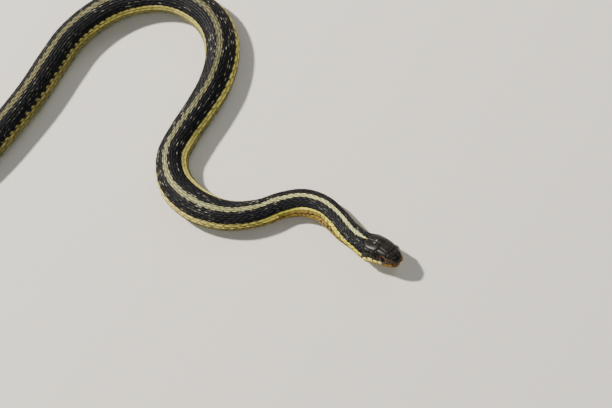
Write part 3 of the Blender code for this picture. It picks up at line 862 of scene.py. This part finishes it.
def lay_coat(name, tree, roots, sizes, skin, unit, chart, finish, chances=0.5, stretched=0.0):
    """Runs the coat tree on a lattice and keeps the result as a plain mesh with its bake map."""
    lattice = new_mesh(name, roots / MM, [])
    alike = np.ones(len(roots))
    note(lattice.data, "size", sizes)
    note(lattice.data, "chance", chances * alike, kind="FLOAT")
    note(lattice.data, "root", np.column_stack([roots[:, :2], stretched * alike]))
    change = lattice.modifiers.new("coat", "NODES")
    change.node_group = tree
    values = {"Skin": skin, "Unit": unit, "Map": chart[0], "Length of animal": TOTAL,
              "Angle at map edge": chart[1], "Finish": finish}
    for item in tree.interface.items_tree:
        if item.in_out == "INPUT" and item.name in values:
            change[item.identifier] = values[item.name]
    bpy.context.view_layer.update()
    graph = bpy.context.evaluated_depsgraph_get()
    mesh = bpy.data.meshes.new_from_object(lattice.evaluated_get(graph))
    lattice.modifiers.clear()
    lattice.data = mesh
    mesh.name = name
    corners = corner_points(mesh)
    root, leaf = noted(mesh, "root")[corners], noted(mesh, "leaf")[corners]
    girth = np.where(root[:, 1] > 180.0, root[:, 1] - 360.0, root[:, 1])
    write_map(mesh, "OFBake", bake_place(root[:, 0], girth) + (leaf[:, :2] - [0.5, 0.0]) * BAKE_PATCH)
    return lattice


def belly_points():
    """Scutes under the body and paired plates under the tail."""
    roots, sizes = [], []
    s = BELLY_FROM
    while s < VENT - 3.0:
        pitch = float(np.interp(s, [23, 60, 110], [2.3, 2.8, 3.17]))
        roots.append((s, 180.0, 0.0))
        width = float(np.interp(s, [23, 30, 40], [80.0, 130.0, 153.0]))
        sizes.append((pitch * 1.22, width, COAT_DEPTH))
        s += pitch
    # The plate over the vent
    roots.append((s, 180.0, 0.0))
    sizes.append((4.4, 96.0, COAT_DEPTH))
    s += 3.4
    while s < TOTAL - 1.5:
        pitch = float(np.interp(s, [480, 560, 626], [2.2, 1.9, 1.2]))
        for side in (-1, 1):
            roots.append((s + 0.25 * pitch * side, 180.0 + 34.0 * side, 0.0))
            sizes.append((pitch * 1.25, 72.0, float(coat_depth(s))))
        s += pitch
    return np.array(roots), np.array(sizes)


def throat_points():
    """Small scales of the throat, between the chin shields and the first belly scute."""
    roots = []
    for i, s in enumerate(np.arange(10.5, 24.5, 1.45)):
        for j in range(-5, 6):
            if (i + j) % 2 == 0 and (s >= 13.0 or abs(j) >= 2):
                roots.append((s, 180.0 + j * 11.5, 0.0))
    return np.array(roots), np.tile((3.2, 21.0, COAT_DEPTH * 0.9), (len(roots), 1))


# The head

# Corners that the plates share, numbered from 1 in each group: distance in millimetres from the snout,
# and row from the crown to the chin
CORNER_GROUPS = {
    "crown": [(0.95, 0.0), (3.3, 0.0), (6.1, 0.0), (11.4, 0.0), (17.0, 0.0)],
    "nose": [(0.95, 1.3), (2.05, 1.85), (3.15, 2.2), (3.6, 2.55), (3.35, 1.1), (0.72, 3.0),
             (0.62, 4.8), (2.1, 4.8)],
    "cheek": [(4.7, 3.05), (4.75, 4.75), (3.65, 4.78), (5.6, 4.8)],
    "front": [(6.1, 1.5), (8.5, 1.2), (10.4, 1.05)],
    "brow": [(5.75, 3.0), (10.95, 1.95), (9.8, 2.95), (11.55, 2.6)],
    "rim": [(6.27, 3.37), (7.2, 3.05), (8.13, 3.37), (8.4, 3.8), (8.45, 4.45), (8.15, 5.0),
            (7.2, 5.34), (6.25, 5.0), (5.93, 4.2)],
    "rear": [(10.3, 3.6), (10.35, 4.4), (9.95, 5.2)],
    "temple": [(13.5, 2.5), (14.0, 3.55), (13.6, 4.65), (12.3, 5.0), (15.8, 2.1), (16.7, 2.9),
               (16.4, 3.7), (17.1, 4.6), (14.9, 4.85), (16.8, 5.3)],
    "nape": [(17.0, 1.25), (17.7, 0.6)],
    "lip": [(0.5, 6.5), (2.1, 6.5), (4.2, 6.5), (7.2, 6.5), (9.5, 6.5), (11.9, 6.5), (14.3, 6.5),
            (16.7, 6.5)],
}
CORNERS = {f"{group}_{i}": corner for group, corners in CORNER_GROUPS.items()
           for i, corner in enumerate(corners, 1)}
CROWN_PLATES = {
    "internasal": "crown_1 crown_2 nose_5 nose_3 nose_2 nose_1",
    "prefrontal": "crown_2 crown_3 front_1 brow_1 cheek_1 nose_4 nose_3 nose_5",
    "supraocular": "front_1 front_2 front_3 brow_2 brow_3 rim_3 rim_2 rim_1 brow_1",
    "parietal": "crown_4 front_3 brow_2 brow_4 temple_1 temple_5 nape_1 nape_2 crown_5",
    "fore_nasal": "nose_1 nose_2 nose_8 nose_7 nose_6",
    "rear_nasal": "nose_2 nose_3 nose_4 cheek_3 nose_8",
    "loreal": "nose_4 cheek_1 cheek_2 cheek_3",
    "preocular": "cheek_1 brow_1 rim_1 rim_9 rim_8 cheek_4 cheek_2",
    "postocular_top": "rim_3 brow_3 brow_2 brow_4 rear_1 rim_4",
    "postocular_mid": "rim_4 rear_1 rear_2 rim_5",
    "postocular_low": "rim_5 rear_2 rear_3 rim_6",
    "temporal_fore": "brow_4 temple_1 temple_2 temple_3 temple_4 rear_3 rear_2 rear_1",
    "temporal_upper": "temple_1 temple_5 temple_6 temple_7 temple_2",
    "temporal_lower": "temple_2 temple_7 temple_8 temple_10 temple_9 temple_3",
}
UPPER_LABIALS = [
    "nose_7 nose_8 lip_2 lip_1", "nose_8 cheek_3 cheek_2 lip_3 lip_2",
    "cheek_2 cheek_4 rim_8 rim_7 lip_4 lip_3",
    "rim_7 rim_6 rear_3 lip_5 lip_4", "rear_3 temple_4 lip_6 lip_5",
    "temple_4 temple_3 temple_9 lip_7 lip_6", "temple_9 temple_10 lip_8 lip_7",
]
FRONTAL = "crown_3 front_1 front_2 front_3 crown_4"
ROSTRAL = "crown_1 nose_1 nose_6 nose_7 lip_1"
LOWER_LIP = [0.75, 2.1, 3.6, 5.3, 7.2, 9.4, 11.8, 14.2, 16.4]
LOWER_ROWS = (7.5, 9.2)
MENTAL = [(0.1, 7.5), (0.7, 7.6), (1.5, 9.4), (1.9, 12.0)]
CHIN_SHIELDS = [
    [(2.0, 12.0), (1.6, 9.4), (3.5, 9.3), (5.2, 9.35), (6.5, 10.4), (6.9, 12.0)],
    [(6.9, 12.0), (6.5, 10.4), (7.6, 9.5), (9.4, 10.0), (11.6, 11.3), (11.9, 12.0)],
]
SUTURE = 0.09
PLATE_EDGE = 0.10
PLATE_ROUND = 0.13
PLATE_RISE = 0.03
PLATE_BOW = 0.02
PLATE_BOTTOM = -COAT_DEPTH * 1.6
PLATES_LONG = 19.0
PLATES_ROUND = 372.0


def flat_place(places, pole):
    """Places on the head as plain millimetres: round the snout's tip, or unrolled beside a middle."""
    s, girth = drawn_back(places[:, 0]) - SNOUT_BACK, np.radians(row_girth(places[:, 1]))
    if pole is None:
        return np.stack([(s + SNOUT_CAP) * np.cos(girth), (s + SNOUT_CAP) * np.sin(girth)], 1)
    return np.stack([s, places[:, 1] * pole], 1)


def head_place(flat, pole):
    """The way back from plain millimetres to distance and row."""
    if pole is None:
        reach = np.hypot(flat[:, 0], flat[:, 1]) - SNOUT_CAP
        row = np.degrees(np.arctan2(flat[:, 1], flat[:, 0])) * CHIN_ROW / 180.0
    else:
        reach, row = flat[:, 0], flat[:, 1] / pole
    curve, slope = SNOUT_BACK / SNOUT_REACH ** 2, 1.0 - 2.0 * SNOUT_BACK / SNOUT_REACH
    near = (np.sqrt(np.maximum(slope ** 2 + 4.0 * curve * reach, 0.0)) - slope) / (2.0 * curve)
    return np.stack([np.where(reach < SNOUT_REACH - SNOUT_BACK, near, reach + SNOUT_BACK), row], 1)


def moved_in(loop, distance):
    """A closed outline moved towards its inside by a distance."""
    before, after = loop - np.roll(loop, 1, axis=0), np.roll(loop, -1, axis=0) - loop
    edges = one_long(before) + one_long(after)
    inwards = np.stack([-edges[:, 1], edges[:, 0]], 1)
    sharp = np.clip(np.linalg.norm(edges, axis=1) / 2, 0.7, 1.0)
    return loop + one_long(inwards) * (distance / sharp)[:, None]


def plate_outline(corners, pole):
    """The outline with small round corners and a point about every quarter millimetre."""
    loop = flat_place(np.array(corners, float), pole)
    area = np.sum(loop[:, 0] * np.roll(loop[:, 1], -1) - loop[:, 1] * np.roll(loop[:, 0], -1))
    if area < 0:
        loop = loop[::-1]
    loop = moved_in(loop, SUTURE / 2)
    points = []
    for i in range(len(loop)):
        a, b, c = loop[i - 1], loop[i], loop[(i + 1) % len(loop)]
        back, ahead = np.linalg.norm(a - b), np.linalg.norm(c - b)
        cut_a, cut_c = min(PLATE_ROUND, 0.3 * back), min(PLATE_ROUND, 0.3 * ahead)
        start, end = b + (a - b) / back * cut_a, b + (c - b) / ahead * cut_c
        for u in (0.0, 0.33, 0.67, 1.0):
            points.append((1 - u) ** 2 * start + 2 * u * (1 - u) * b + u * u * end)
        parts = max(1, int(round((ahead - cut_c - cut_c) / 0.25)))
        far = c + (b - c) / ahead * cut_c
        for k in range(1, parts):
            points.append(end + (far - end) * k / parts)
    return np.array(points)


def plate(corners, lip, pole):
    """Points, faces, places and shading notes of one raised plate."""
    outline = plate_outline(corners, pole)
    middle = outline.mean(0)
    # Rings from the foot of the plate to its top: places, rise, and distance from the plate's edge
    rings = [(outline, PLATE_BOTTOM, 0.0), (outline, -COAT_DEPTH * 0.45, 0.0),
             (moved_in(outline, PLATE_EDGE * 0.25), -COAT_DEPTH * 0.12, 0.03),
             (moved_in(outline, PLATE_EDGE), PLATE_RISE, 0.08)]
    inner = rings[-1][0]
    reach = float(np.linalg.norm(inner - middle, axis=1).mean())
    for share in (0.25, 0.5, 0.78):
        rings.append((middle + (inner - middle) * (1 - share),
                      PLATE_RISE + PLATE_BOW * (1 - (1 - share) ** 2), share * reach))
    count = len(outline)
    places = head_place(np.vstack([*(ring for ring, _, _ in rings), middle, middle]), pole)
    rises = np.r_[np.repeat([r for _, r, _ in rings], count), PLATE_RISE + PLATE_BOW, PLATE_BOTTOM]
    away = np.r_[np.repeat([d for _, _, d in rings], count), reach, reach]
    points = raised(places[:, 0], row_girth(places[:, 1]), rises)
    faces, last = [], len(rings) - 1
    for j in range(count):
        k = (j + 1) % count
        for i in range(last):
            faces.append((i * count + j, i * count + k, i * count + count + k, i * count + count + j))
        faces.append((last * count + j, last * count + k, count * len(rings)))
        faces.append((k, j, count * len(rings) + 1))
    girth = row_girth(places[:, 1])
    if girth.max() - girth.min() > 180.0 and np.abs(girth).min() > 90.0:
        girth = np.where(girth < 0.0, girth + 360.0, girth)
    lengthways = (places[:, 0] - places[:, 0].min()) / max(np.ptp(places[:, 0]), 1e-6)
    notes = np.stack([away, lengthways, np.full(len(away), lip)], 1)
    return points, faces, np.stack([places[:, 0], girth], 1), notes


def facing_out(points, faces):
    """Turns a closed shape's faces outwards by the sign of its volume."""
    middle, volume = points.mean(0), 0.0
    for face in faces:
        for i in range(1, len(face) - 1):
            a, b, c = (points[face[k]] - middle for k in (0, i, i + 1))
            volume += np.dot(a, np.cross(b, c))
    return faces if volume > 0 else [tuple(reversed(f)) for f in faces]


def named_corners(names, side=1):
    return [(CORNERS[name][0], side * CORNERS[name][1]) for name in names.split()]


def both_sides(corners):
    """A middle plate's outline from its right half."""
    return corners + [(s, -row) for s, row in reversed(corners) if row]


def head_plates():
    """Every plate's corners, share of lip colouring and millimetres to a row.

    A plate that lies round the snout's tip has None for the last.
    """
    shapes = [(both_sides(named_corners(FRONTAL)), 0.0, 1.3),
              (both_sides(named_corners(ROSTRAL)), 0.45, None)]
    for side in (1, -1):
        for names in CROWN_PLATES.values():
            shapes.append((named_corners(names, side), 0.0,
                           None if names.startswith(("crown_1", "nose_1")) else 1.1))
        for i, names in enumerate(UPPER_LABIALS):
            shapes.append((named_corners(names, side), 1.0, None if i == 0 else 1.0))
        top, foot = (side * row for row in LOWER_ROWS)
        for a, b in zip(LOWER_LIP, LOWER_LIP[1:]):
            shapes.append(([(a, top), (b, top), (b + 0.35, foot), (a + 0.35, foot)], 0.9, 0.9))
        for corners in CHIN_SHIELDS:
            shapes.append(([(s, side * row) for s, row in corners], 0.8, 0.9))
    left = [(s, 2 * CHIN_ROW - row) for s, row in reversed(MENTAL[:-1])]
    shapes.append((MENTAL + left, 0.9, None))
    return shapes


def build_plates(finish):
    """All plates of the head in one piece."""
    parts, faces, base = [], [], 0
    for corners, lip, pole in head_plates():
        points, around, *noted_there = plate(corners, lip, pole)
        faces += [tuple(v + base for v in face) for face in facing_out(points, around)]
        parts.append((points, *noted_there))
        base += len(points)
    points, places, notes = (np.vstack(column) for column in zip(*parts))
    plates = new_mesh("head_plates", points, faces, finish)
    note(plates.data, "place", np.column_stack([places, np.full(len(places), 0.5)]))
    note(plates.data, "leaf", notes)
    spot = np.stack([0.02 + 0.96 * (places[:, 0] + SNOUT_CAP) / PLATES_LONG,
                     0.04 + 0.90 * (places[:, 1] + 180.0) / PLATES_ROUND], 1)
    write_map(plates.data, "OFBake", spot[corner_points(plates.data)])
    return plates


def build_eye(name, side, finish):
    """An eyeball turned to look outwards, with a map of angle round and away from its axis."""
    centre, look = eye_seat(side)
    across, rings = 48, 28
    up = one_long(np.cross(look, [0.0, 1.0, 0.0]))
    third = np.cross(look, up)
    points = [centre + look * EYE_RADIUS]
    for i in range(1, rings):
        a = math.pi * i / rings
        for j in range(across):
            b = 2 * math.pi * j / across
            out = math.cos(a) * look + math.sin(a) * (math.cos(b) * up + math.sin(b) * third)
            points.append(centre + EYE_RADIUS * out)
    points.append(centre - look * EYE_RADIUS)
    faces, gaze = [], []
    last = len(points) - 1
    for j in range(across):
        k = (j + 1) % across
        faces.append((0, 1 + j, 1 + k))
        gaze += [(j + 0.5, 0), (j, 1), (j + 1, 1)]
        for i in range(1, rings - 1):
            a, b = 1 + (i - 1) * across, 1 + i * across
            faces.append((a + j, b + j, b + k, a + k))
            gaze += [(j, i), (j, i + 1), (j + 1, i + 1), (j + 1, i)]
        faces.append((last, last - across + k, last - across + j))
        gaze += [(j + 0.5, rings), (j + 1, rings - 1), (j, rings - 1)]
    eye = new_mesh(name, points, faces, finish)
    write_map(eye.data, "gaze", np.array(gaze) / (across, rings))
    if np.cross(points[2] - points[1], points[0] - points[1]) @ look < 0:
        eye.data.flip_normals()
    return eye


# Stage, light and camera

def area_light(name, place, size, power, colour):
    """A round lamp turned towards the animal."""
    data = bpy.data.lights.new(name, "AREA")
    data.shape, data.size, data.energy, data.color = "DISK", size, power, colour
    lamp = new_thing(name, data)
    lamp.location = place
    back = one_long(np.array(place) - LAMP_TARGET)
    side = one_long(np.cross([0.0, 0.0, 1.0], back))
    turn = Matrix(np.column_stack([side, np.cross(back, side), back]).tolist())
    lamp.rotation_euler = turn.to_euler()


def set_camera():
    """The photo's view: from in front and above, and turned about its own line of sight."""
    back = np.array([0.0, -math.cos(VIEW_ELEVATION), math.sin(VIEW_ELEVATION)])
    level = np.array([1.0, 0.0, 0.0])
    rise = np.cross(back, level)
    up = rise * math.cos(VIEW_ROLL) + level * math.sin(VIEW_ROLL)
    right = level * math.cos(VIEW_ROLL) - rise * math.sin(VIEW_ROLL)
    centre = np.array([*(-ORIGIN), 0.0])
    data = bpy.data.cameras.new("view")
    data.lens, data.sensor_width = LENS, SENSOR_WIDTH
    data.clip_start, data.clip_end = 0.01, 20.0
    view = new_thing("view", data)
    turn = Matrix(np.column_stack([right, up, back]).tolist()).to_4x4()
    view.matrix_world = Matrix.Translation(((centre + back * VIEW_DISTANCE) * MM).tolist()) @ turn
    bpy.context.scene.camera = view


def set_stage():
    """A plain pale floor, three lamps and an even light all round."""
    corners = np.array([(-1, -1, 0), (1, -1, 0), (1, 1, 0), (-1, 1, 0)]) * FLOOR_REACH / MM
    floor = new_mesh("floor", corners, [(0, 1, 2, 3)], plain_finish("floor", FLOOR, 0.85), smooth=False)
    floor.location.z = -FLOOR_BELOW
    for name, lamp in LAMPS.items():
        area_light(name, *lamp)
    room = bpy.data.worlds.new("studio")
    room.use_nodes = True
    light = room.node_tree.nodes["Background"].inputs
    light["Color"].default_value = (*ROOM_LIGHT, 1.0)
    light["Strength"].default_value = ROOM_STRENGTH
    bpy.context.scene.world = room


def main():
    skin = build_skin()
    scale, scute = unit_scale(), unit_scute()
    tree = coat_tree()
    scale_look, belly_look = scale_finish(), belly_finish()
    pieces = [skin]
    for name, low, high in (("scales_fore", 0.0, 150.0), ("scales_mid", 150.0, 290.0),
                            ("scales_rear", 290.0, 430.0), ("scales_tail", 430.0, TOTAL)):
        roots, sizes, *varied = coat_points(low, high)
        pieces.append(lay_coat(name, tree, roots, sizes, skin, scale, BACK_MAP, scale_look, *varied))
    for name, lattice, unit in (("belly_scutes", belly_points(), scute),
                                ("throat_scales", throat_points(), scale)):
        pieces.append(lay_coat(name, tree, *lattice, skin, unit, BELLY_MAP, belly_look))
    for unit in (scale, scute):
        bpy.data.objects.remove(unit)
    pieces.append(build_plates(plate_finish()))
    for piece in pieces:
        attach(piece, "root")
    flesh = [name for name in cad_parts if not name.startswith("eye")]
    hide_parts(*flesh)
    eye_look = eye_finish()
    for side, name in ((1, "right"), (-1, "left")):
        eye = build_eye(f"eyeball_{name}", side, eye_look)
        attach(eye, "root")
        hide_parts(f"eye_{name}")
    set_stage()
    set_camera()


main()
